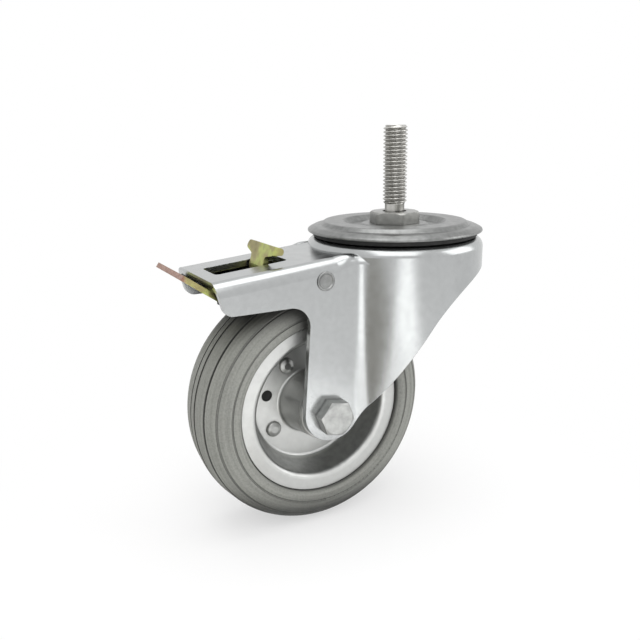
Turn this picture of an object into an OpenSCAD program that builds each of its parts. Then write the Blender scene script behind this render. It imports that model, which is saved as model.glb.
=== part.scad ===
// Stem castor with a threaded stem, a double-race swivel head, a pressed fork, a foot brake and a
// rubber-tyred wheel on two riveted rim halves. +Z points up along the stem, the wheel trails to -X
// and the side with the bolt head is -Y. The origin lies on the swivel axis, on the top of the hex
// collar.

/* [Stem] */
// Thread diameter of the stem
stem_d = 10; // [8:1:12]
// Length of the stem above the hex collar
stem_len = 35; // [20:1:60]
// Width across flats of the hex collar
collar_af = 19; // [15:0.5:24]
// Diameter to which the corners of the collar are turned
collar_d = 21.2; // [17:0.1:26]
// Height of the collar
collar_h = 4.8; // [3:0.1:8]
// Direction of one corner of the collar
collar_turn = 13.3; // [0:0.1:60]
// Diameter of the kingpin below the collar
pin_d = 12; // [8:0.5:16]

/* [Swivel head] */
// Thickness of the plate and fork sheet
sheet_t = 2.5; // [1.5:0.1:4]
// Radius of the top plate
plate_r = 36.65; // [30:0.05:45]
// Height of the raised ball ring of the plate
ring_z = -3.7; // [-4.5:0.1:-2]
// Inner radius of the raised ring
ring_in = 21.8; // [18:0.1:24]
// Outer radius of the raised ring
ring_out = 29.8; // [27:0.1:32]
// Height of the upper face of the plate's outer flange
flange_z = -5.2; // [-6:0.1:-4]
// Height of the lower edge of the plate
plate_low_z = -7.8; // [-9:0.1:-7]
// Height of the top of the fork head
head_z = -10; // [-12:0.1:-9]
// Radius of the fork head
head_r = 37; // [30:0.1:45]
// Radius of the fork head's shoulder
shoulder_r = 4; // [2.6:0.1:6]
// Diameter of the upper balls
ball_d = 5.4; // [4:0.1:6]
// Radius of the upper ball ring
ball_ring_r = 26; // [24:0.1:28]
// Count of the upper balls
ball_count = 26; // [12:1:28]
// Diameter of the lower balls
low_ball_d = 4; // [3:0.1:5]
// Count of the lower balls
low_ball_count = 20; // [8:1:24]
// Outer radius of the lower cup
cup_r = 20.5; // [18:0.1:24]
// Clearance of a ball in its race
race_gap = 0.3; // [0.2:0.05:0.5]

/* [Fork] */
// Half the width over the cheeks
cheek_y = 22; // [18:0.1:30]
// Radius of the hollow between head and cheek
hollow_r = 8; // [4:0.1:14]
// Bend radius along the top of the arm
arm_bend = 5.5; // [3:0.1:8]
// Length of the arm behind the axle
arm_len = 45.6; // [35:0.1:60]
// Height of the arm's top at its end
arm_end_z = -17.9; // [-24:0.1:-12]
// Slope of the arm's top
arm_tilt = 5.3; // [0:0.1:10]
// Height of the arm's lower edge
arm_low_z = -30; // [-36:0.1:-26]
// Height of the lower edge of the front wall
front_low_z = -21.5; // [-30:0.1:-16]
// Radius of the front edge's sweep
sweep_r = 50; // [30:1:80]
// Set-back from the head's front to where the front edge's lines would meet
sweep_back = 28.4; // [20:0.1:40]
// Radius of the leg's round end
boss_r = 12.2; // [10:0.1:16]
// Distance of the leg's rear edge behind the axle, under the arm
leg_back = 8.3; // [6:0.1:12]
// Radius of the corner between arm and leg
arm_corner_r = 8; // [3:0.1:12]
// Distance of the slot from the arm's end
slot_edge = 5.4; // [3:0.1:10]
// Length of the slot
slot_len = 29.5; // [20:0.1:36]
// Half the width of the slot
slot_y = 7.5; // [5:0.1:10]

/* [Axle] */
// Distance of the axle behind the fork head
axle_back = 6.3; // [2:0.1:16]
// Diameter of the axle bolt
bolt_d = 8; // [6:1:10]
// Width across flats of the bolt head
bolt_af = 13; // [10:1:17]
// Height of the bolt head
bolt_head_h = 5.3; // [4:0.1:7]
// Direction of one corner of the bolt head
bolt_turn = 50; // [0:0.1:60]
// Outer diameter of the axle tube
tube_d = 12; // [10:0.5:16]
// Radial clearance of the running fits
run_gap = 0.06; // [0.02:0.01:0.1]
// Radial clearance of the bolt holes
bolt_gap = 0.1; // [0.05:0.01:0.3]

/* [Wheel] */
// Radius of the tyre
tyre_r = 50; // [40:0.5:75]
// Half the width of the tyre
tyre_y = 16; // [12:0.1:25]
// Radius of the tyre's shoulders
tyre_round = 10; // [5:0.1:12]
// Radius of the rim flange
rim_r = 35.1; // [30:0.1:45]
// Offset of the flange's outer face
rim_y = 13.9; // [10:0.1:20]
// Gap between the tyre and the brake pin over it
tyre_gap = 1.3; // [1:0.1:4]
// Thickness of the rim sheet
rim_t = 1.7; // [1.2:0.1:2.5]
// Outer radius of the flat disc
disc_r = 25.6; // [20:0.1:30]
// Radius of the rim's well at the flange
well_r = 29.6; // [27:0.1:32]
// Radius of the rivet circle
rivet_ring_r = 19.2; // [16:0.1:23]
// Direction of the first rivet
rivet_turn = 31.3; // [0:0.1:90]
// Diameter of the air hole in the disc
air_hole_d = 4.7; // [3:0.1:8]
// Direction of the air hole
air_hole_turn = 165.4; // [0:0.1:360]
// Count of the rollers in the hub
roller_count = 12; // [6:1:14]
// Diameter of a roller
roller_d = 2.2; // [1.5:0.1:3]

/* [Brake] */
// Distance of the brake pin behind the axle
brake_back = 2.2; // [0:0.1:6]
// Height of the brake pin
brake_z = -21.3; // [-24:0.1:-18]
// Diameter of the brake pin
brake_pin_d = 5.8; // [4:0.1:8]
// Full travel of the pedal
brake_angle = 8; // [4:0.5:10]
// Thickness of the lever sheet
lever_t = 2; // [1.5:0.1:3]
// Half the width of the pedal
pedal_y = 15; // [10:0.1:18]
// Reach of the pedal beyond the arm's end
pedal_reach = 9.7; // [5:0.1:20]
// Height of the pedal's outer edge
pedal_z = -15.5; // [-20:0.1:-12]
// Height of the lever's web
web_z = -25.8; // [-27:0.1:-24]
// Height of the top of the release tab
tab_z = -8.2; // [-14:0.1:-6]
// Distance of the release tab's foot from the slot's front end
tab_back = 9.4; // [6:0.1:14]
// Forward lean of the release tab
tab_lean = 17; // [0:1:25]
// Half the width of the release tab
tab_y = 12.5; // [8:0.1:15]
// Length of the fold at the tab's near end
tab_fold = 3.2; // [1:0.1:5]

/* [Hidden] */
$fn = 96;
low = -100;
seat_gap = 0.02;
plate_under = ring_z - sheet_t;
ball_z = -8.2;
race_r = ball_d / 2 + race_gap;
low_race_r = low_ball_d / 2 + race_gap;
low_ring_r = cup_r - 4.5;
low_ball_z = head_z - sheet_t - low_race_r + 0.4;
cup_top = low_ball_z - low_race_r + 0.7;
cup_low = cup_top - sheet_t;
washer_low = cup_low - 1.6;
pin_low = washer_low - 2.6;
inner_y = cheek_y - sheet_t;
hollow_y = cheek_y + hollow_r;
hollow_x = -sqrt(pow(head_r + hollow_r, 2) - pow(hollow_y, 2));

// Places along the fork, each from the one before it
axle_x = -head_r - axle_back;
axle_z = brake_z - brake_pin_d / 2 - tyre_gap - tyre_r;
boss = [axle_x + 0.5, axle_z + 1.5];
leg_x = axle_x - leg_back;
sweep_x = head_r - sweep_back;
arm_end_x = axle_x - arm_len;
slot_from = arm_end_x + slot_edge;
slot_to = slot_from + slot_len;
brake_x = axle_x - brake_back;
pedal_x = arm_end_x - pedal_reach;
pedal_bend_x = arm_end_x + 5;
web_end_x = pedal_bend_x + 15.9;
shoe_to = web_end_x - 1;
shoe_from = shoe_to - 8.5;
rivet_x = shoe_from + 2.9;
tab_x = slot_to - tab_back;
tab_foot_z = tab_z - 8.8;
neck_y = slot_y - 1.3;
foot_y = neck_y - 0.1;
ear_r = brake_pin_d / 2 + 1.5;

// The hub, from the axle tube outwards
hub_in = tube_d / 2 + roller_d + 0.4;
hub_r = hub_in + 1.3;
hub_y = inner_y - 3.1;
roller_ring_r = hub_in - roller_d / 2 - 0.05;
cap_y = inner_y - 1.1;

function unit(v) = v / norm(v);
function turn(a, b) = a[0] * b[1] - a[1] * b[0];
function flat(p) = [p[0], p[1]];
function left(v) = [-v[1], v[0]];
function back(p) = [for (i = [len(p) - 1 : -1 : 0]) p[i]];
function radius(p) = len(p) > 2 ? p[2] : 0;

// The point where the parallels at distance d to the two legs of a path at its point i meet
function mitre(path, i, d) =
    let (n = len(path), p = flat(path[i]))
    let (u = i > 0 ? unit(p - flat(path[i - 1])) : unit(flat(path[1]) - p))
    let (v = i < n - 1 ? unit(flat(path[i + 1]) - p) : u)
    let (m = left(u) + left(v))
    p + m * d * 2 / (m * m);
function bend(path, i) =
    let (n = len(path), p = flat(path[i]))
    i == 0 || i == n - 1 ? 0 : sign(turn(p - flat(path[i - 1]), flat(path[i + 1]) - p));
function side(path, d) = [for (i = [0 : len(path) - 1])
    let (m = mitre(path, i, d), r = radius(path[i]))
    [m[0], m[1], r > 0 ? r - bend(path, i) * d : 0]];

// A sheet of thickness t along a centre line with bend radii
function sheet(path, t) = concat(side(path, t / 2), back(side(path, -t / 2)));

// The round at point i of an outline: its frame, centre, radius and the way it turns
function round_at(p, i, s) =
    let (n = len(p), q = flat(p[i]), r = p[i][2])
    let (u = unit(flat(p[(i + n - 1) % n]) - q), v = unit(flat(p[(i + 1) % n]) - q))
    let (a = acos(u * v) / 2, w = unit(u + v), d = 0.3)
    let (e = q + u * r / tan(a), f = q + v * r / tan(a), m = q + w * r / sin(a))
    [[e, e - (m - e) * d / r, q - w * d / sin(a), f - (m - f) * d / r, f], m, r, turn(u, v) * s,
        (e + f) / 2 + w * min(0.3, r / 4), q];

// Twice the area inside an outline, with its sign
function area(p) = let (n = len(p)) [for (i = [0 : n - 1]) turn(flat(p[i]), flat(p[(i + 1) % n]))]
    * [for (i = [0 : n - 1]) 1];

// A closed outline whose corners carry their own radii
module outline(p) {
    s = sign(area(p));
    c = [for (i = [0 : len(p) - 1]) radius(p[i]) > 0 ? round_at(p, i, s) : [flat(p[i])]];
    difference() {
        polygon([for (k = c) each len(k) == 1 ? k : k[3] > 0 ? [k[0][0], k[0][4]] : [k[5]]]);
        for (k = c) if (len(k) > 1) corner(k);
    }
}

// What a round takes away: outside an outer corner, or inside the bridge over an inner one. The
// circle is a hair larger than its nominal radius, so that it crosses both edges cleanly.
module corner(k) {
    r = k[2] + 0.004 + k[2] * 0.0005;
    if (k[3] > 0) intersection() {
        polygon([k[0][0], k[5], k[0][4], k[4]]);
        translate(k[1]) circle(r);
    } else difference() {
        polygon(k[0]);
        translate(k[1]) circle(r);
    }
}

module ring(r_out, r_in, from, to) {
    translate([0, 0, from]) difference() {
        cylinder(r = r_out, h = to - from);
        translate([0, 0, -1]) cylinder(r = r_in, h = to - from + 2);
    }
}

// Local z points to the near side
module on_axle() {
    translate([axle_x, 0, axle_z]) rotate([90, 0, 0]) children();
}

// Extrudes a side view, drawn in x and z, between two distances on the near side
module across(from, to) {
    rotate([90, 0, 0]) translate([0, 0, from]) linear_extrude(to - from) children();
}

module threaded_stem() color("#8f918f") {
    rotate_extrude() outline([[0, stem_len], [stem_d / 2 - 1, stem_len], [stem_d / 2, stem_len - 1],
        [stem_d / 2, -collar_h / 2], [pin_d / 2, -collar_h / 2], [pin_d / 2, washer_low],
        [pin_d / 2 + 2.4, washer_low], [pin_d / 2 + 1.4, pin_low, 1], [0, pin_low]]);
    intersection() {
        rotate([0, 0, collar_turn]) translate([0, 0, -collar_h])
            cylinder(d = collar_af / cos(30), h = collar_h, $fn = 6);
        rotate_extrude() polygon([[0, 1], [collar_af / 2 - 1, 1], [collar_d / 2, -0.7],
            [collar_d / 2, -collar_h - 1], [0, -collar_h - 1]]);
    }
}

module top_plate() color("#a5a7a8") difference() {
    rotate_extrude() outline([[pin_d / 2 + seat_gap, -collar_h], [13.4, -collar_h, 1], [14.8, -5.8, 1],
        [ring_in - 2, -5.8, 1], [ring_in, ring_z, 1], [ring_out, ring_z, 1.2],
        [ring_out + 1.6, flange_z, 1.2], [plate_r - 2.6, flange_z - 0.3, 4], [plate_r, flange_z - 1.6, 0.8],
        [plate_r, plate_low_z, 0.4], [ring_out + 1.2, plate_low_z], [ring_out - 0.4, plate_under, 1],
        [ring_in + 0.3, plate_under, 1], [ring_in - 1, -8.3, 1], [14.2, -8.3, 1],
        [13, -collar_h - sheet_t, 1], [pin_d / 2 + seat_gap, -collar_h - sheet_t]]);
    rotate_extrude() translate([ball_ring_r, ball_z]) circle(race_r);
}

module dust_seal() color("#1c1c1c") {
    rotate_extrude() outline([[ring_out + 1.5, plate_low_z], [plate_r - 1.45, plate_low_z, 0.4],
        [head_r - 2.6, head_z + race_gap, 0.4], [ring_out + 2.1, head_z + race_gap, 0.4]]);
}

module ball_circle(count, r, z, d) {
    for (i = [0 : count - 1]) rotate([0, 0, i * 360 / count]) translate([r, 0, z]) sphere(d = d, $fn = 48);
}

module upper_balls() color("#c8c8c8") {
    ball_circle(ball_count, ball_ring_r, ball_z, ball_d);
}

module lower_balls() color("#c8c8c8") {
    ball_circle(low_ball_count, low_ring_r, low_ball_z, low_ball_d);
}

module lower_cup() color("#9a9b9a") difference() {
    rotate_extrude() outline([[pin_d / 2 + seat_gap, cup_low], [cup_r - 0.6, cup_low, 3],
        [cup_r, head_z - sheet_t - 0.5, 0], [cup_r - 1.8, head_z - sheet_t - 0.5, 0],
        [cup_r - 2, cup_top, 1], [pin_d / 2 + seat_gap, cup_top]]);
    rotate_extrude() translate([low_ring_r, low_ball_z]) circle(low_race_r);
}

module kingpin_washer() color("#a0a0a0") {
    ring(10, pin_d / 2 + seat_gap, washer_low, cup_low);
}

// The head's shell, grown by g
module head(g) {
    rotate_extrude() outline([[0, head_z + g], [head_r + g, head_z + g, shoulder_r + g],
        [head_r + g, low], [0, low]]);
}

// The arm's box, grown by g, from the length a to the length b along its slope
module arm(g, a, b) {
    y = cheek_y + g;
    translate([arm_end_x, 0, arm_end_z]) rotate([0, -arm_tilt, 0]) translate([a, 0, 0])
        rotate([90, 0, 90]) linear_extrude(b - a)
            outline([[-y, low], [y, low], [y, g, arm_bend + g], [-y, g, arm_bend + g]]);
}

// The hollow between head and cheek, grown by g, with the head's shoulder along its top
module hollow(g) {
    r = hollow_r - g;
    t = -unit([hollow_x, -hollow_y]) * r;
    top = head_z - 2.5 + g;
    for (s = [-1, 1]) scale([1, s, 1]) translate([hollow_x, hollow_y, 0]) intersection() {
        translate([0, 0, low]) linear_extrude(-low)
            polygon([[0, -r], [t[0], -r - 6], [t[0] + 6, -r - 2], [t[0], -abs(t[1])]]);
        rotate_extrude() outline([[r, low], [r + 25, low], [r + 25, top], [r, top, shoulder_r + g]]);
    }
}

module shell(g, a, b) {
    head(g);
    arm(g, a, b);
    hollow(g);
}

// The point where a line from p that touches the circle c, r meets the height z
function touch(p, c, r, side, z) =
    let (v = c - p, w = atan2(v[1], v[0]) + side * asin(r / norm(v)))
    [p[0] + (z - p[1]) / tan(w), z];

module fork_side() {
    z = boss[1] - boss_r;
    front = touch([sweep_x, front_low_z], boss, boss_r, 1, z);
    rear = touch([leg_x, arm_low_z], boss, boss_r, -1, z);
    outline([[head_r + 3, 5], [head_r + 3, front_low_z], [sweep_x, front_low_z, sweep_r],
        [front[0], front[1], boss_r], [rear[0], rear[1], boss_r], [leg_x, arm_low_z, arm_corner_r],
        [arm_end_x + 3, arm_low_z, 4], [arm_end_x, arm_end_z - 1], [arm_end_x, 5]]);
}

module fork() color("#b9bbbc") difference() {
    intersection() {
        difference() {
            shell(0, -5, 76);
            shell(-sheet_t, -8, 72);
        }
        across(-60, 60) fork_side();
    }
    translate([0, 0, low]) cylinder(d = pin_d + 2 * run_gap, h = -low);
    rotate_extrude() translate([ball_ring_r, ball_z]) circle(race_r);
    rotate_extrude() translate([low_ring_r, low_ball_z]) circle(low_race_r);
    translate([0, 0, -26]) linear_extrude(26) outline([[slot_from, -slot_y, 2], [slot_to, -slot_y, 2],
        [slot_to, slot_y, 2], [slot_from, slot_y, 2]]);
    on_axle() translate([0, 0, -40]) cylinder(d = bolt_d + 2 * bolt_gap, h = 80);
    across(-40, 40) translate([brake_x, brake_z]) circle(d = brake_pin_d + 0.1);
}

module axle_bolt() color("#a9a9a4") on_axle() {
    translate([0, 0, cheek_y]) rotate([0, 0, bolt_turn]) intersection() {
        cylinder(d = bolt_af / cos(30), h = bolt_head_h, $fn = 6);
        rotate_extrude() polygon([[0, -1], [bolt_af, -1], [bolt_af, bolt_head_h - 3],
            [bolt_af / 2 - 0.4, bolt_head_h], [0, bolt_head_h]]);
    }
    rotate_extrude() outline([[0, cheek_y + 1], [bolt_d / 2, cheek_y + 1], [bolt_d / 2, -cheek_y - 10.5],
        [bolt_d / 2 - 0.8, -cheek_y - 11.3], [0, -cheek_y - 11.3]]);
}

module axle_washer() color("#a9a9a4") on_axle() {
    ring(8, bolt_d / 2 + bolt_gap, -cheek_y - 1.6, -cheek_y);
}

module axle_nut() color("#a9a9a4") on_axle() difference() {
    translate([0, 0, -cheek_y - 1.6 - 6.5]) intersection() {
        cylinder(d = bolt_af / cos(30), h = 6.5, $fn = 6);
        rotate_extrude() polygon([[0, 0], [bolt_af / 2 - 0.2, 0], [bolt_af / 2 + 1.6, 1.1],
            [bolt_af / 2 + 1.6, 5.4], [bolt_af / 2 - 0.2, 6.5], [0, 6.5]]);
    }
    translate([0, 0, -40]) cylinder(d = bolt_d + 0.04, h = 40);
}

module axle_tube() color("#8f918f") on_axle() {
    ring(tube_d / 2, bolt_d / 2 + bolt_gap, -inner_y, inner_y);
}

module brake_pin() color("#b0b0ae") translate([brake_x, 0, brake_z]) rotate([90, 0, 0]) {
    for (s = [0, 1]) mirror([0, 0, s]) rotate_extrude()
        outline([[0, -1], [brake_pin_d / 2, -1], [brake_pin_d / 2, cheek_y], [3.7, cheek_y],
            [3.7, cheek_y + 0.6, 0.4], [brake_pin_d / 2 + 0.1, cheek_y + 0.6],
            [brake_pin_d / 2 - 0.3, cheek_y + 0.2],
            [0, cheek_y + 0.2]]);
}

// Centre line of the spring wire round the brake pin, in x, y and z from the pin's axis
wire_d = 1;
coil_r = brake_pin_d / 2 + wire_d / 2 + 0.7;
coil_y = pedal_y + wire_d / 2 + 0.6;
coil_pitch = wire_d + 0.1;
coil_turns = 2.25;
coil = concat([[-17, coil_y, -coil_r]], [for (i = [0 : 24 * coil_turns]) let (a = 270 + i * 15)
    [coil_r * cos(a), coil_y + i / 24 * coil_pitch, coil_r * sin(a)]],
    [[coil_r, coil_y + coil_turns * coil_pitch, 2.9]]);

module brake_spring() color("#6f716f") {
    n = len(coil);
    m = 8;
    line = [for (p = coil) [p[0], p[2]]];
    pts = [for (i = [0 : n - 1])
        let (u = unit(line[min(i + 1, n - 1)] - line[max(i - 1, 0)]), w = left(u))
        for (j = [0 : m - 1])
        let (a = j * 360 / m, k = wire_d / 2)
        [coil[i][0] + k * cos(a) * w[0], coil[i][1] + k * sin(a), coil[i][2] + k * cos(a) * w[1]]];
    translate([brake_x, 0, brake_z]) polyhedron(pts, concat(
        [[for (j = [0 : m - 1]) j]], [[for (j = [m - 1 : -1 : 0]) (n - 1) * m + j]],
        [for (i = [0 : n - 2]) for (j = [0 : m - 1])
            [i * m + j, (i + 1) * m + j, (i + 1) * m + (j + 1) % m]],
        [for (i = [0 : n - 2]) for (j = [0 : m - 1])
            [i * m + j, (i + 1) * m + (j + 1) % m, i * m + (j + 1) % m]]));
}

// Half the tyre's section, from its middle plane to one side
tyre_half = [[disc_r + 1.8, 0.9], [well_r + 0.6, rim_y - rim_t - 0.05, 1.2],
    [rim_r + 0.3, rim_y - rim_t - 0.05],
    [rim_r + 0.3, rim_y], [rim_r + 0.7, tyre_y, 1.6], [tyre_r - 1.6, tyre_y, tyre_round],
    [tyre_r + 0.1, 1, 0]];

module tyre() color("#8b8c86") on_axle() rotate_extrude() difference() {
    outline(concat(tyre_half, back([for (p = tyre_half) [p[0], -p[1], radius(p)]])));
    for (s = [-1, 1]) {
        translate([tyre_r - 0.9, s * 2 - 0.5]) square([2, 1]);
        translate([tyre_r - 1.75, s * 9.5 - 0.5]) square([3, 1]);
        translate([tyre_r - 4.6, s * 14.2]) circle(0.5);
        translate([tyre_r - 6.3, s * (tyre_y - 0.1)]) circle(0.45);
        translate([tyre_r - 10.3, s * (tyre_y + 0.1)]) circle(0.45);
    }
}

module rim_half() {
    c = rim_t / 2;
    difference() {
        rotate_extrude() outline(sheet([[hub_r + c + 0.15, hub_y - 0.2], [hub_r + 3, c, 2], [disc_r, c, 2.2],
            [well_r, rim_y - c, 1.75], [rim_r, rim_y - c]], rim_t));
        for (i = [0 : 3]) rotate([0, 0, rivet_turn + 90 * i]) translate([rivet_ring_r, 0, -1])
            cylinder(d = 4.1, h = 6);
        rotate([0, 0, air_hole_turn]) translate([rivet_ring_r + 0.3, 0, -1]) cylinder(d = air_hole_d, h = 6);
    }
}

module rim_near() color("#c6c8c9") on_axle() translate([0, 0, seat_gap]) rim_half();

module rim_far() color("#c6c8c9") on_axle() mirror([0, 0, 1]) translate([0, 0, seat_gap]) rim_half();

module rim_rivets() color("#bcbcba") on_axle() for (i = [0 : 3]) rotate([0, 0, rivet_turn + 90 * i])
    translate([rivet_ring_r, 0, 0]) for (s = [0, 1]) mirror([0, 0, s]) rotate_extrude()
        outline([[0, -0.5], [2, -0.5], [2, rim_t + 0.02], [3.3, rim_t + 0.02], [3.1, rim_t + 1.1, 0.7],
            [1.4, rim_t + 1.7, 1], [0, rim_t + 1.7]]);

// A rubber plug that closes the air hole, sunk below both discs
module air_plug() color("#1c1c1c") on_axle() rotate([0, 0, air_hole_turn])
    translate([rivet_ring_r + 0.3, 0, -1.2]) cylinder(d = air_hole_d - 0.04, h = 2.4);

module hub_tube() color("#9a9a98") on_axle() ring(hub_r, hub_in, -hub_y, hub_y);

module roller_cage() color("#8a6f3a") on_axle() difference() {
    ring(roller_ring_r + 0.45, roller_ring_r - 0.45, -hub_y + 2.4, hub_y - 2.4);
    for (i = [0 : roller_count - 1]) rotate([0, 0, i * 360 / roller_count])
        translate([roller_ring_r, 0, -hub_y + 4.3]) cylinder(d = roller_d + 0.2, h = 2 * hub_y - 8.6);
}

module rollers() color("#c8c8c8") on_axle() for (i = [0 : roller_count - 1])
    rotate([0, 0, i * 360 / roller_count]) translate([roller_ring_r, 0, -hub_y + 4.4])
        cylinder(d = roller_d, h = 2 * hub_y - 8.8, $fn = 24);

module cap() {
    rotate_extrude() outline([[tube_d / 2 + run_gap, hub_y - 2.1], [hub_in - 0.05, hub_y - 2.1],
        [hub_in - 0.05, hub_y + 0.05], [hub_r + 1.7, hub_y + 0.05], [hub_r + 1.7, cap_y, 0.6],
        [tube_d / 2 + run_gap, cap_y]]);
}

module dust_cap_near() color("#d0d0ce") on_axle() cap();

module dust_cap_far() color("#d0d0ce") on_axle() mirror([0, 0, 1]) cap();

// The lever's centre line from the pedal's edge to the web, and from the web up to the tab
pedal_line = [[pedal_x, pedal_z], [pedal_bend_x, web_z, 5], [web_end_x, web_z]];
neck_line = [[web_end_x - 2, web_z], [web_end_x + 0.5, web_z, 3], [tab_x - 0.3, web_z + 2.2, 3],
    [tab_x, tab_foot_z + 0.5]];

module lever_ear() {
    outline([[web_end_x - 12, web_z - 1], [web_end_x + 2, web_z - 1, 10],
        [brake_x - 2, brake_z - ear_r + 0.6], [brake_x - 1, brake_z + ear_r - 0.5],
        [web_end_x - 8, web_z + 3, 6], [web_end_x - 14, web_z + 1]]);
    translate([brake_x, brake_z]) circle(ear_r);
}

module brake_lever() color("#a9a866") {
    difference() {
        across(-pedal_y, pedal_y) outline(sheet(pedal_line, lever_t));
        translate([rivet_x, 0, web_z - 5]) cylinder(d = 4.1, h = 10);
    }
    difference() {
        for (s = [-1, 1]) across(s * (pedal_y - lever_t / 2) - lever_t / 2,
            s * (pedal_y - lever_t / 2) + lever_t / 2) lever_ear();
        across(-20, 20) translate([brake_x, brake_z]) circle(d = brake_pin_d + 2 * run_gap);
    }
    across(-neck_y, neck_y) outline(sheet(neck_line, lever_t));
    release_tab();
}

// A fan on the neck, leaning forward, with its near end folded towards the stem
module release_tab() {
    h = (tab_z - tab_foot_z) / cos(tab_lean) - 0.3;
    translate([tab_x, 0, tab_foot_z]) rotate([0, tab_lean, 0]) {
        translate([-lever_t / 2, 0, 0]) rotate([90, 0, 90]) linear_extrude(lever_t)
            outline([[-foot_y, -0.4], [foot_y, -0.4], [foot_y, h - 4.9, 1.5], [tab_y, h - 2.9, 1.2],
                [tab_y - 2, h, 2], [-tab_y, h], [-tab_y, h - 3.6, 1.2], [-foot_y, h - 4.9, 1.5]]);
        translate([0, -tab_y, 0]) rotate([90, 0, 0]) translate([0, 0, -lever_t])
            linear_extrude(lever_t) outline([[-lever_t / 2, h - 3.4], [tab_fold, h - 2.6, 1],
                [tab_fold, h, 1.4], [-lever_t / 2, h]]);
    }
}

module brake_shoe() color("#3a3a38") difference() {
    across(-9, 9) outline([[shoe_from, web_z - lever_t / 2], [shoe_to, web_z - lever_t / 2],
        [shoe_to, web_z - 12], [shoe_from, web_z - 12]]);
    translate([brake_x, 0, brake_z]) rotate([0, brake_angle, 0]) translate([-brake_x, 0, -brake_z])
        on_axle() cylinder(r = tyre_r + 0.4, h = 60, center = true);
    translate([rivet_x, 0, web_z - 15]) cylinder(d = 4.1, h = 20);
}

module shoe_rivet() color("#b0b0ae") translate([rivet_x, 0, 0]) rotate_extrude()
    outline([[0, web_z - 3], [2, web_z - 3], [2, web_z + 1], [3.6, web_z + 1], [3.2, web_z + 2.2, 0.8],
        [0, web_z + 2.2]]);

threaded_stem();
top_plate();
dust_seal();
upper_balls();
lower_cup();
lower_balls();
kingpin_washer();
fork();
axle_bolt();
axle_washer();
axle_nut();
axle_tube();
brake_pin();
brake_spring();
tyre();
rim_near();
rim_far();
rim_rivets();
air_plug();
hub_tube();
roller_cage();
rollers();
dust_cap_near();
dust_cap_far();
brake_lever();
brake_shoe();
shoe_rivet();
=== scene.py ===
"""The looks of a stem castor: zinc-plated fork and head, M10 stem, yellow passivated brake lever
and a grey rubber tyre on bright rim halves. Lengths are in metres, colours are sRGB bytes."""

import math

import bmesh
import bpy
from mathutils import Matrix, Vector

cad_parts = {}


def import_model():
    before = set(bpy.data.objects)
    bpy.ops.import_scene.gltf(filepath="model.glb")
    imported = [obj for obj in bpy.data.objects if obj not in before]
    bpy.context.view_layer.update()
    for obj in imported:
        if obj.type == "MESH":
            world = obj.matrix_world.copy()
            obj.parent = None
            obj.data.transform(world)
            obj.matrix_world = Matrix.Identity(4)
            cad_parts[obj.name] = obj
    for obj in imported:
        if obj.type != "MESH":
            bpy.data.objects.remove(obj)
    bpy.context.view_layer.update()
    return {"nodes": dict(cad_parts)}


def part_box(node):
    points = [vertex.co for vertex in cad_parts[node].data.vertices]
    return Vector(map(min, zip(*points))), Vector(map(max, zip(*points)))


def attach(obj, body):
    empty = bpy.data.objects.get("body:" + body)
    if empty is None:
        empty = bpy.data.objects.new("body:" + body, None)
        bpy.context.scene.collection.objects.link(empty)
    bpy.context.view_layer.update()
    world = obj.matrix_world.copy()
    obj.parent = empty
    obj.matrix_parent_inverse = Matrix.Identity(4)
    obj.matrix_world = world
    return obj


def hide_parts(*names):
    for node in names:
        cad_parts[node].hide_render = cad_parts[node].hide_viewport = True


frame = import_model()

nodes = frame["nodes"]
scene = bpy.context.scene
MM = 0.001


def linear(rgb):
    """An sRGB colour in bytes as the linear RGBA that shaders take."""
    channel = [v / 255 for v in rgb]
    return [v / 12.92 if v <= 0.04045 else ((v + 0.055) / 1.055) ** 2.4 for v in channel] + [1]


def shade(rgb, factor):
    return tuple(min(255, v * factor) for v in rgb)


# Materials


AXLE = sum(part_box("axle_tube"), Vector()) / 2
# The rim's channel between disc and flange, darkened with painted shade, as radii round the
# axle, and its soft border
DISC_EDGE = 25.4 * MM
CHANNEL_EDGE = 29.2 * MM
RING_SOFT = 0.5 * MM
# Noise coordinate for a radian round the axle: so short that streaks run round it
STREAK = 0.0012
# The pedal's worn edge along X
WORN_FROM = -97.0 * MM
WORN_FULL = -98.2 * MM
# Sockets of the Mix node in its colour form
MIX_A, MIX_B, MIX_RESULT = 6, 7, 2


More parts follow.
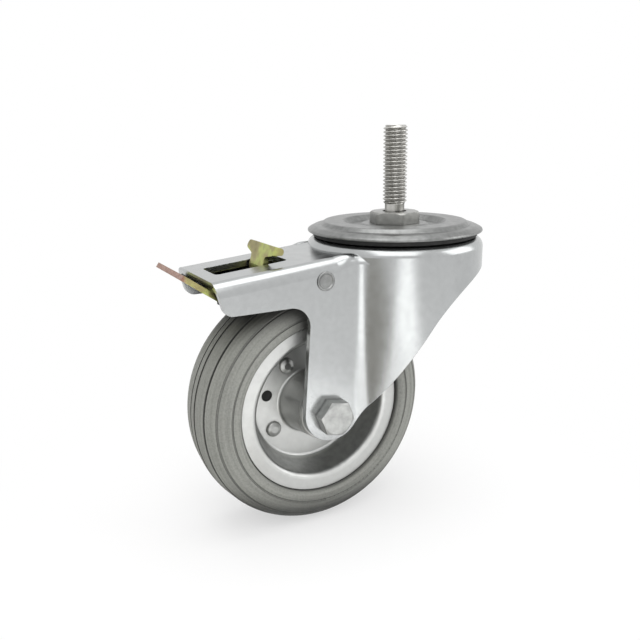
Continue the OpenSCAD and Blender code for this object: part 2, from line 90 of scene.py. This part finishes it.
class Surface:
    """A procedural material on one Principled shader."""

    def __init__(self, name, metallic, roughness):
        self.material = bpy.data.materials.new(name)
        self.material.use_nodes = True
        self.tree = self.material.node_tree
        self.shader = self.tree.nodes["Principled BSDF"]
        self.shader.inputs["Metallic"].default_value = metallic
        self.shader.inputs["Roughness"].default_value = roughness
        self.coordinates = self.tree.nodes.new("ShaderNodeTexCoord").outputs["Object"]

    def add(self, kind, **settings):
        node = self.tree.nodes.new(kind)
        for key, value in settings.items():
            setattr(node, key, value)
        return node

    def link(self, output, to):
        self.tree.links.new(output, to)

    def calc(self, operation, *values):
        """The result of a maths node over outputs and plain numbers."""
        node = self.add("ShaderNodeMath", operation=operation)
        for socket, value in zip(node.inputs, values):
            if isinstance(value, (int, float)):
                socket.default_value = value
            else:
                self.link(value, socket)
        return node.outputs[0]

    def vector(self, operation, first, second=None):
        """A vector maths node over an output and, where given, a fixed vector."""
        node = self.add("ShaderNodeVectorMath", operation=operation)
        self.link(first, node.inputs[0])
        if second is not None:
            node.inputs[1].default_value = second
        return node

    def parts(self, vector):
        """The X, Y and Z outputs of a vector."""
        node = self.add("ShaderNodeSeparateXYZ")
        self.link(vector, node.inputs["Vector"])
        return node.outputs

    def mapped(self, factor, limits, to=(0, 1), soft=False):
        """A value mapped from the range between the limits to another range."""
        node = self.add("ShaderNodeMapRange")
        if soft:
            node.interpolation_type = "SMOOTHSTEP"
        for key, value in zip(("From Min", "From Max", "To Min", "To Max"), (*limits, *to)):
            node.inputs[key].default_value = value
        self.link(factor, node.inputs["Value"])
        return node.outputs["Result"]

    def turned(self, centre):
        """Coordinates round an axle: radius, place along it and, much compressed, the angle."""
        offset = self.vector("SUBTRACT", self.coordinates, centre).outputs["Vector"]
        flat = self.vector("MULTIPLY", offset, (1, 0, 1)).outputs["Vector"]
        place = self.parts(offset)
        joined = self.add("ShaderNodeCombineXYZ")
        self.link(self.vector("LENGTH", flat).outputs["Value"], joined.inputs["X"])
        self.link(place["Y"], joined.inputs["Y"])
        angle = self.calc("ARCTAN2", place["X"], place["Z"])
        self.link(self.calc("MULTIPLY", angle, STREAK), joined.inputs["Z"])
        return joined.outputs["Vector"]

    def noise(self, scale, detail, stretch=(1, 1, 1), over=None):
        """Noise over the object or over other coordinates, with scale in waves a metre."""
        mapping = self.add("ShaderNodeMapping")
        mapping.inputs["Scale"].default_value = stretch
        self.link(over or self.coordinates, mapping.inputs["Vector"])
        noise = self.add("ShaderNodeTexNoise")
        noise.inputs["Scale"].default_value = scale
        noise.inputs["Detail"].default_value = detail
        self.link(mapping.outputs["Vector"], noise.inputs["Vector"])
        return noise.outputs["Fac"]

    def ramp(self, factor, stops):
        """Colours along a factor, from pairs of place and sRGB colour."""
        ramp = self.add("ShaderNodeValToRGB")
        elements = ramp.color_ramp.elements
        while len(elements) < len(stops):
            elements.new(0.5)
        for element, (place, rgb) in zip(elements, stops):
            element.position = place
            element.color = linear(rgb)
        self.link(factor, ramp.inputs["Fac"])
        return ramp.outputs["Color"]

    def spread(self, factor, low, high):
        """Maps the middle of a noise to the range from low to high."""
        return self.mapped(factor, (0.3, 0.7), (low, high))

    def blended(self, factor, low, high):
        """A colour between two colour outputs, by an output or by a fixed share."""
        mix = self.add("ShaderNodeMix", data_type="RGBA")
        if isinstance(factor, float):
            mix.inputs["Factor"].default_value = factor
        else:
            self.link(factor, mix.inputs["Factor"])
        self.link(low, mix.inputs[MIX_A])
        self.link(high, mix.inputs[MIX_B])
        return mix.outputs[MIX_RESULT]

    def recesses(self, distance, deep, open_at):
        """How deep a point lies in a corner, from 0 in the open to 1."""
        hollow = self.add("ShaderNodeAmbientOcclusion", samples=16)
        hollow.inputs["Distance"].default_value = distance
        return self.mapped(hollow.outputs["AO"], (open_at, deep))

    def coloured(self, colour):
        self.link(colour, self.shader.inputs["Base Color"])

    def roughened(self, factor):
        self.link(factor, self.shader.inputs["Roughness"])

    def bumped(self, height, distance, strength, edge=0.0):
        """A bump of this height in metres, over edges rounded by the radius edge."""
        bump = self.add("ShaderNodeBump")
        bump.inputs["Strength"].default_value = strength
        bump.inputs["Distance"].default_value = distance
        self.link(height, bump.inputs["Height"])
        if edge:
            bevel = self.add("ShaderNodeBevel", samples=4)
            bevel.inputs["Radius"].default_value = edge
            self.link(bevel.outputs["Normal"], bump.inputs["Normal"])
        self.link(bump.outputs["Normal"], self.shader.inputs["Normal"])


def zinc(name, rgb, roughness, mottle=0.035, edge=0.3 * MM, corner=3 * MM, corner_shade=0.62,
         shaded_ring=None):
    """Zinc plating: faint fine patches, uneven gloss, a fine grain and painted shade in the
    corners.

    mottle is how far the patches vary, corner how far the painted shade reaches, corner_shade
    its tone.
    shaded_ring is the inner and outer radius of a channel round the axle given painted shade.
    """
    s = Surface(name, 1.0, roughness)
    cloud = s.noise(420, 5)
    clean = s.ramp(cloud, [(0.3, shade(rgb, 1 - mottle)), (0.7, shade(rgb, 1 + mottle))])
    # Painted shade: darker copies of the colour, laid where the ambient occlusion finds a corner
    shaded_colour = s.ramp(cloud, [(0.3, shade(rgb, corner_shade * 0.92)), (0.7, shade(rgb, corner_shade))])
    if shaded_ring:
        inner, outer = shaded_ring
        half = (outer - inner) / 2
        radius = s.parts(s.turned(AXLE))["X"]
        off = s.calc("ABSOLUTE", s.calc("SUBTRACT", radius, (inner + outer) / 2))
        share = s.mapped(off, (half + RING_SOFT, half - RING_SOFT), soft=True)
        # Painted shade over the channel between disc and flange
        ring_shade_colour = s.ramp(cloud, [(0.3, shade(rgb, 0.7)), (0.7, shade(rgb, 0.78))])
        clean = s.blended(share, clean, ring_shade_colour)
    s.coloured(s.blended(s.recesses(corner, 0.3, 0.8), clean, shaded_colour))
    s.roughened(s.spread(s.noise(260, 3), roughness * 0.88, roughness * 1.12))
    s.bumped(s.noise(1900, 3), 0.012 * MM, 0.5, edge)
    return s.material


def rubber(name, rgb, dust, roughness=0.72):
    """Moulded rubber or plastic with dusty patches and fine pits."""
    s = Surface(name, 0.0, roughness)
    s.coloured(s.ramp(s.noise(500, 5), [(0.35, rgb), (0.75, dust)]))
    s.roughened(s.spread(s.noise(300, 4), roughness - 0.08, roughness + 0.08))
    s.bumped(s.noise(2600, 4), 0.06 * MM, 0.6)
    return s.material


def worn_rubber(name, rgb):
    """Grey rubber with scuff streaks round the axle and painted shade in the grooves and under
    the fork.
    """
    s = Surface(name, 0.0, 0.66)
    streaks = s.noise(900, 4, over=s.turned(AXLE))
    base = s.ramp(streaks, [(0.32, shade(rgb, 0.86)), (0.5, rgb), (0.68, shade(rgb, 1.1))])
    spots = s.ramp(s.noise(1400, 3), [(0.33, shade(rgb, 0.84)), (0.62, shade(rgb, 1.04))])
    # Painted shade in the grooves, where the ambient occlusion finds them
    groove_shade = s.ramp(s.noise(700, 3), [(0.3, shade(rgb, 0.56)), (0.7, shade(rgb, 0.7))])
    grooved = s.blended(s.recesses(1.4 * MM, 0.45, 0.9), s.blended(0.45, base, spots), groove_shade)
    # Painted shade under the fork, from ambient occlusion over a wide reach
    fork_shade = s.ramp(streaks, [(0.3, shade(rgb, 0.34)), (0.7, shade(rgb, 0.5))])
    s.coloured(s.blended(s.recesses(30 * MM, 0.4, 0.9), grooved, fork_shade))
    s.roughened(s.spread(s.noise(300, 4), 0.56, 0.74))
    s.bumped(s.noise(2400, 4), 0.07 * MM, 0.6)
    return s.material


def passivated(name):
    """Yellow zinc: olive with green clouds, worn to reddish brown at the pedal's edge."""
    s = Surface(name, 0.85, 0.36)
    clouds = s.ramp(s.noise(150, 3), [(0.3, (136, 128, 90)), (0.45, (156, 148, 102)),
                                      (0.58, (178, 186, 110)), (0.72, (146, 142, 104))])
    worn_share = s.mapped(s.parts(s.coordinates)["X"], (WORN_FROM, WORN_FULL))
    worn = s.ramp(s.noise(900, 2, (1, 1.6, 0.3)),
                  [(0.35, (138, 104, 90)), (0.65, (172, 140, 126))])
    body = s.blended(worn_share, clouds, worn)
    shadowed = s.ramp(s.noise(300, 3), [(0.3, (34, 32, 26)), (0.7, (56, 53, 42))])
    s.coloured(s.blended(s.recesses(12 * MM, 0.3, 0.62), body, shadowed))
    s.roughened(s.spread(s.noise(240, 3), 0.28, 0.44))
    s.bumped(s.noise(1200, 3), 0.03 * MM, 0.5, 0.3 * MM)
    return s.material


# corner and corner_shade set how far and how dark the painted shade lies in each finish's
# corners
sheet_zinc = zinc("sheet zinc", (174, 176, 176), 0.24, mottle=0.012, corner=2 * MM, corner_shade=0.85)
plate_zinc = zinc("plate zinc", (127, 128, 127), 0.33, mottle=0.08, corner=5 * MM, corner_shade=0.45)
stem_zinc = zinc("stem zinc", (150, 150, 147), 0.32, mottle=0.06, corner=2 * MM, corner_shade=0.85)
bolt_zinc = zinc("bolt zinc", (164, 165, 163), 0.34, mottle=0.07)
pin_zinc = zinc("pin zinc", (140, 141, 140), 0.3, mottle=0.08, corner=2.2 * MM, corner_shade=0.15)
thread_zinc = zinc("thread zinc", (184, 183, 179), 0.32, mottle=0.05, edge=0, corner=1 * MM,
                   corner_shade=0.9)
rim_zinc = zinc("rim zinc", (194, 195, 193), 0.4, mottle=0.015, corner=6 * MM, corner_shade=0.8,
                shaded_ring=(DISC_EDGE, CHANNEL_EDGE))
inner_steel = zinc("inner steel", (150, 151, 150), 0.4)
ball_steel = zinc("ball steel", (205, 206, 208), 0.15, mottle=0.02, edge=0)
spring_steel = zinc("spring steel", (108, 110, 108), 0.35, edge=0)
yellow_zinc = passivated("yellow zinc")
tyre_rubber = worn_rubber("tyre rubber", (140, 141, 135))
black_rubber = rubber("black rubber", (12, 12, 12), (24, 24, 24))
cage_plastic = rubber("cage plastic", (128, 104, 58), (146, 122, 74), 0.5)

FINISH = {
    "threaded_stem": stem_zinc, "top_plate": plate_zinc, "dust_seal": black_rubber,
    "upper_balls": ball_steel, "lower_cup": inner_steel, "lower_balls": ball_steel,
    "kingpin_washer": inner_steel, "fork": sheet_zinc, "axle_bolt": bolt_zinc,
    "axle_washer": bolt_zinc, "axle_nut": bolt_zinc, "axle_tube": inner_steel,
    "brake_pin": pin_zinc, "brake_spring": spring_steel, "tyre": tyre_rubber,
    "air_plug": black_rubber, "rim_near": rim_zinc, "rim_far": rim_zinc,
    "rim_rivets": bolt_zinc, "hub_tube": inner_steel, "roller_cage": cage_plastic,
    "rollers": ball_steel, "dust_cap_near": rim_zinc, "dust_cap_far": rim_zinc,
    "brake_lever": yellow_zinc, "brake_shoe": black_rubber, "shoe_rivet": bolt_zinc,
}
for node_name, finish in FINISH.items():
    nodes[node_name].data.materials.clear()
    nodes[node_name].data.materials.append(finish)


# The stem with its thread


THREAD_R = 5.0 * MM
ROOT_R = 4.08 * MM
PITCH = 1.5 * MM
# Half the flat at the thread's root and the run of one flank, as shares of the pitch
ROOT_FLAT = 0.0625
FLANK = 0.3125
THREAD_FROM = 3.0 * MM
# How fast the thread grows out of the neck, as radius over height
RUNOUT = 0.9
NECK_R = 4.1 * MM
STEM_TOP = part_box("threaded_stem")[1].z
TOP_CHAMFER = 1 * MM
# How far the thread's solid reaches down into the collar
ROOT_SUNK = 1 * MM
# The shank is cut off just above the collar's top, and all above SHANK_FROM is thread
CUT_Z = 0.01 * MM
SHANK_FROM = 0.1 * MM
AROUND = 72
ROWS_A_TURN = 12
SHARP_ANGLE = math.radians(28)


def thread_radius(angle, z):
    """Radius of a 60 degree thread with flats, fading out at both ends."""
    phase = (z / PITCH - angle / math.tau) % 1
    height = min(1, max(0, (abs(phase - 0.5) - ROOT_FLAT) / FLANK))
    radius = ROOT_R + (THREAD_R - ROOT_R) * height
    low_end = NECK_R + max(0, z - THREAD_FROM) * RUNOUT
    high_end = THREAD_R - max(0, z - STEM_TOP + TOP_CHAMFER)
    return min(radius, low_end, high_end)


def thread(bm):
    rows = int((STEM_TOP - THREAD_FROM) / PITCH * ROWS_A_TURN) + 1
    heights = [-ROOT_SUNK]
    heights += [THREAD_FROM + (STEM_TOP - THREAD_FROM) * i / rows for i in range(rows + 1)]
    rings = []
    for z in heights:
        ring = []
        for k in range(AROUND):
            angle = math.tau * k / AROUND
            r = thread_radius(angle, z) if z > THREAD_FROM else NECK_R
            ring.append(bm.verts.new((r * math.cos(angle), r * math.sin(angle), z)))
        rings.append(ring)
    for low, high in zip(rings, rings[1:]):
        for k in range(AROUND):
            n = (k + 1) % AROUND
            bm.faces.new((low[k], low[n], high[n], high[k]))
    bm.faces.new(rings[-1])
    bm.faces.new(rings[0][::-1])


def stem():
    """The CAD stem with its plain shank cut off, an undercut and the thread in its place."""
    bm = bmesh.new()
    bm.from_mesh(nodes["threaded_stem"].data)
    geometry = bm.verts[:] + bm.edges[:] + bm.faces[:]
    cut = bmesh.ops.bisect_plane(bm, geom=geometry, plane_co=(0, 0, CUT_Z), plane_no=(0, 0, 1),
                                 clear_outer=True)["geom_cut"]
    bmesh.ops.holes_fill(bm, edges=[e for e in cut if isinstance(e, bmesh.types.BMEdge)])
    thread(bm)
    mesh = bpy.data.meshes.new("stem")
    bm.to_mesh(mesh)
    bm.free()
    mesh.materials.append(stem_zinc)
    mesh.materials.append(thread_zinc)
    for face in mesh.polygons:
        face.material_index = int(face.center.z > SHANK_FROM)
    mesh.shade_smooth()
    mesh.set_sharp_from_angle(angle=SHARP_ANGLE)
    piece = bpy.data.objects.new("stem_with_thread", mesh)
    scene.collection.objects.link(piece)
    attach(piece, "mount")
    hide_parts("threaded_stem")


stem()


# The soft blends where the arm's rounded edges run into the head


# Along X: where a blend starts, where it has the head's full form and where it ends
BLEND_FROM = -41 * MM
BLEND_FULL = -34.2 * MM
BLEND_TO = -31.4 * MM
ARM_SIDE = 22 * MM
ARM_BEND = 5.5 * MM
HEAD_BEND = 4 * MM
# The arm's top is ARM_TOP high at ARM_AT and rises with X by ARM_SLOPE
ARM_TOP = -12.76 * MM
ARM_AT = -33.5 * MM
ARM_SLOPE = 0.093
HEAD_TOP = -12.5 * MM
BLEND_LOW = -21 * MM
# A blend starts this far under the arm's skin and ends this far above it
BLEND_SUNK = 0.1 * MM
BLEND_PROUD = 0.06 * MM
BLEND_THICK = 1.2 * MM
# The strip of top inside the bend, and how far its inner border drops out of sight
BLEND_FLAT = 2 * MM
BLEND_DROP = 1.4 * MM
ACROSS = 28
TOP_STEPS, ARC_STEPS, SIDE_STEPS = 5, 18, 4


def edge_profile(bend, top, out):
    """The rounded top edge of the arm or head from the top to the side, in y and z."""
    points = []
    for i in range(TOP_STEPS):
        inward = 1 - i / TOP_STEPS
        points.append((ARM_SIDE - bend - BLEND_FLAT * inward,
                       top + out - BLEND_DROP * inward ** 2))
    for i in range(ARC_STEPS + 1):
        angle = math.pi / 2 * i / ARC_STEPS
        points.append((ARM_SIDE - bend + (bend + out) * math.sin(angle),
                       top - bend + (bend + out) * math.cos(angle)))
    for i in range(1, SIDE_STEPS + 1):
        share = i / SIDE_STEPS
        points.append((ARM_SIDE + out - (BLEND_PROUD + BLEND_SUNK) * share,
                       top - bend + (BLEND_LOW - top + bend) * share))
    return points


def blend_rows(sink):
    """Rows of points that turn the arm's wide edge into the head's tighter one."""
    columns = []
    for k in range(ACROSS + 1):
        x = BLEND_FROM + (BLEND_TO - BLEND_FROM) * k / ACROSS
        share = min(1, (x - BLEND_FROM) / (BLEND_FULL - BLEND_FROM))
        share = share * share * (3 - 2 * share)
        bend = ARM_BEND + (HEAD_BEND - ARM_BEND) * share
        arm_top = ARM_TOP + ARM_SLOPE * (x - ARM_AT)
        top = arm_top + (HEAD_TOP - arm_top) * share
        out = -BLEND_SUNK + (BLEND_SUNK + BLEND_PROUD) * share - sink
        columns.append([(x, y, z) for y, z in edge_profile(bend, top, out)])
    return [list(row) for row in zip(*columns)]


def fork_blend(name, side):
    """A closed skin over the arm's edge, on the side of -Y for -1 and of +Y for 1."""
    bm = bmesh.new()
    skins = [[[bm.verts.new((x, side * y, z)) for x, y, z in row] for row in blend_rows(sink)]
             for sink in (0, BLEND_THICK)]
    for rows in skins:
        for low, high in zip(rows, rows[1:]):
            for k in range(ACROSS):
                bm.faces.new((low[k], low[k + 1], high[k + 1], high[k]))
    outer, inner = skins
    borders = [([row[0] for row in outer], [row[0] for row in inner]),
               ([row[-1] for row in outer], [row[-1] for row in inner]),
               (outer[0], inner[0]), (outer[-1], inner[-1])]
    for above, below in borders:
        for k in range(len(above) - 1):
            bm.faces.new((above[k], above[k + 1], below[k + 1], below[k]))
    bmesh.ops.recalc_face_normals(bm, faces=bm.faces[:])
    mesh = bpy.data.meshes.new(name)
    bm.to_mesh(mesh)
    bm.free()
    mesh.materials.append(sheet_zinc)
    mesh.shade_smooth()
    piece = bpy.data.objects.new(name, mesh)
    scene.collection.objects.link(piece)
    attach(piece, "fork")


fork_blend("fork_blend_near", -1)
fork_blend("fork_blend_far", 1)


# Floor, light and camera


FLOOR_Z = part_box("tyre")[0].z
FLOOR_GAP = 0.05 * MM
# Radii round the wheel's foot between which the floor runs out into the white background
SHADOW_NEAR, SHADOW_FAR = 0.03, 0.16
# The share of white that the floor has already beside the wheel
SHADOW_WHITE = 0.55
CARD_LIFT = 2 * MM
# The world's strength as a light
AMBIENT = 0.62


def plane(name, size, centre, material):
    bpy.ops.mesh.primitive_plane_add(size=1, location=centre)
    piece = bpy.context.object
    piece.name = name
    piece.scale = (size[0], size[1], 1)
    piece.data.materials.append(material)
    return piece


def seen_directly(tree):
    """1 for rays from the camera, from gloss or through glass, and 0 for the rest."""
    path = tree.nodes.new("ShaderNodeLightPath")
    seen = path.outputs["Is Camera Ray"]
    for kind in ("Is Glossy Ray", "Is Transmission Ray"):
        node = tree.nodes.new("ShaderNodeMath")
        node.operation = "MAXIMUM"
        tree.links.new(seen, node.inputs[0])
        tree.links.new(path.outputs[kind], node.inputs[1])
        seen = node.outputs[0]
    return seen


def floor_material():
    """A pale floor that keeps the shadow near the wheel and runs out into the background."""
    s = Surface("floor", 0.0, 0.9)
    s.coloured(s.ramp(s.noise(3, 2), [(0.3, (246, 246, 246)), (0.7, (250, 250, 250))]))
    s.shader.inputs["Specular IOR Level"].default_value = 0.0
    position = s.add("ShaderNodeNewGeometry").outputs["Position"]
    distance = s.vector("DISTANCE", position, (AXLE.x, 0, FLOOR_Z)).outputs["Value"]
    far = s.mapped(distance, (SHADOW_NEAR, SHADOW_FAR), (SHADOW_WHITE, 1.0), soft=True)
    share = s.calc("MULTIPLY", far, seen_directly(s.tree))
    white = s.add("ShaderNodeEmission")
    mix = s.add("ShaderNodeMixShader")
    s.link(share, mix.inputs["Fac"])
    s.link(s.shader.outputs["BSDF"], mix.inputs[1])
    s.link(white.outputs["Emission"], mix.inputs[2])
    s.link(mix.outputs["Shader"], s.tree.nodes["Material Output"].inputs["Surface"])
    return s.material


plane("floor", (6, 6), (0, 0, FLOOR_Z - FLOOR_GAP), floor_material())


def card(name, bearing, reach, size, rgb, glow_strength=1.0):
    """A glowing card on the floor that only shows in the metal.

    bearing is in degrees from -Y towards -X, and reach is how far its centre lies out.
    """
    s = Surface(name, 0.0, 0.9)
    tone = s.ramp(s.noise(4, 2), [(0.3, shade(rgb, 0.94)), (0.7, rgb)])
    glow = s.add("ShaderNodeEmission")
    s.link(tone, glow.inputs["Color"])
    glow.inputs["Strength"].default_value = glow_strength
    s.link(glow.outputs["Emission"], s.tree.nodes["Material Output"].inputs["Surface"])
    angle = math.radians(bearing)
    centre = (-reach * math.sin(angle), -reach * math.cos(angle), FLOOR_Z + CARD_LIFT)
    piece = plane(name, size, centre, s.material)
    piece.rotation_euler = (0, 0, -angle)
    piece.visible_camera = False
    piece.visible_diffuse = False
    piece.visible_shadow = False


card("dark_card", 69, 0.5, (0.42, 0.86), (188, 185, 178))
card("bright_card", 19, 0.55, (0.17, 0.9), (255, 255, 255), 2.7)
card("side_card", -28, 0.34, (0.3, 0.5), (255, 255, 255), 1.2)


def softbox(name, place, aim, size, power):
    lamp = bpy.data.lights.new(name, "AREA")
    lamp.shape = "RECTANGLE"
    lamp.size, lamp.size_y = size
    lamp.energy = power
    piece = bpy.data.objects.new(name, lamp)
    piece.location = place
    direction = Vector(aim) - Vector(place)
    piece.rotation_euler = direction.to_track_quat("-Z", "Y").to_euler()
    scene.collection.objects.link(piece)


TARGET = (-0.03, 0, -0.05)
softbox("key", (-0.45, -0.75, 0.95), TARGET, (1.2, 1.0), 6)
softbox("right", (0.85, -0.45, 0.35), TARGET, (0.8, 0.7), 3)
softbox("top", (0.0, 0.1, 1.1), TARGET, (1.0, 0.8), 5)


def world():
    """White to the camera and in reflections, plain soft grey as a light."""
    scene.world = bpy.data.worlds.new("studio")
    scene.world.use_nodes = True
    tree = scene.world.node_tree
    background = tree.nodes["Background"]
    background.inputs["Color"].default_value = (1, 1, 1, 1)
    level = tree.nodes.new("ShaderNodeMapRange")
    level.inputs["To Min"].default_value = AMBIENT
    level.inputs["To Max"].default_value = 1.0
    tree.links.new(seen_directly(tree), level.inputs["Value"])
    tree.links.new(level.outputs["Result"], background.inputs["Strength"])


world()
scene.view_settings.view_transform = "Standard"

# The camera as fitted to the rim, tyre, plate, collar, arm, bolt and stem in the photograph
AZIMUTH, ELEVATION, ROLL = math.radians(28.37), math.radians(15.07), math.radians(-0.71)
EYE = Vector((-173.36, -253.75, 34.98)) * MM
FOCAL_PX = 721.5
IMAGE_PX = 640
SENSOR = 36


def camera():
    forward = Vector((math.sin(AZIMUTH) * math.cos(ELEVATION),
                      math.cos(AZIMUTH) * math.cos(ELEVATION), -math.sin(ELEVATION)))
    level = Vector((math.cos(AZIMUTH), -math.sin(AZIMUTH), 0))
    upright = level.cross(forward)
    right = level * math.cos(ROLL) + upright * math.sin(ROLL)
    up = upright * math.cos(ROLL) - level * math.sin(ROLL)
    data = bpy.data.cameras.new("camera")
    data.lens = FOCAL_PX * SENSOR / IMAGE_PX
    data.sensor_width = SENSOR
    data.clip_start = 0.01
    piece = bpy.data.objects.new("camera", data)
    turn = Matrix((right, up, -forward)).transposed().to_4x4()
    piece.matrix_world = Matrix.Translation(EYE) @ turn
    scene.collection.objects.link(piece)
    scene.camera = piece


camera()
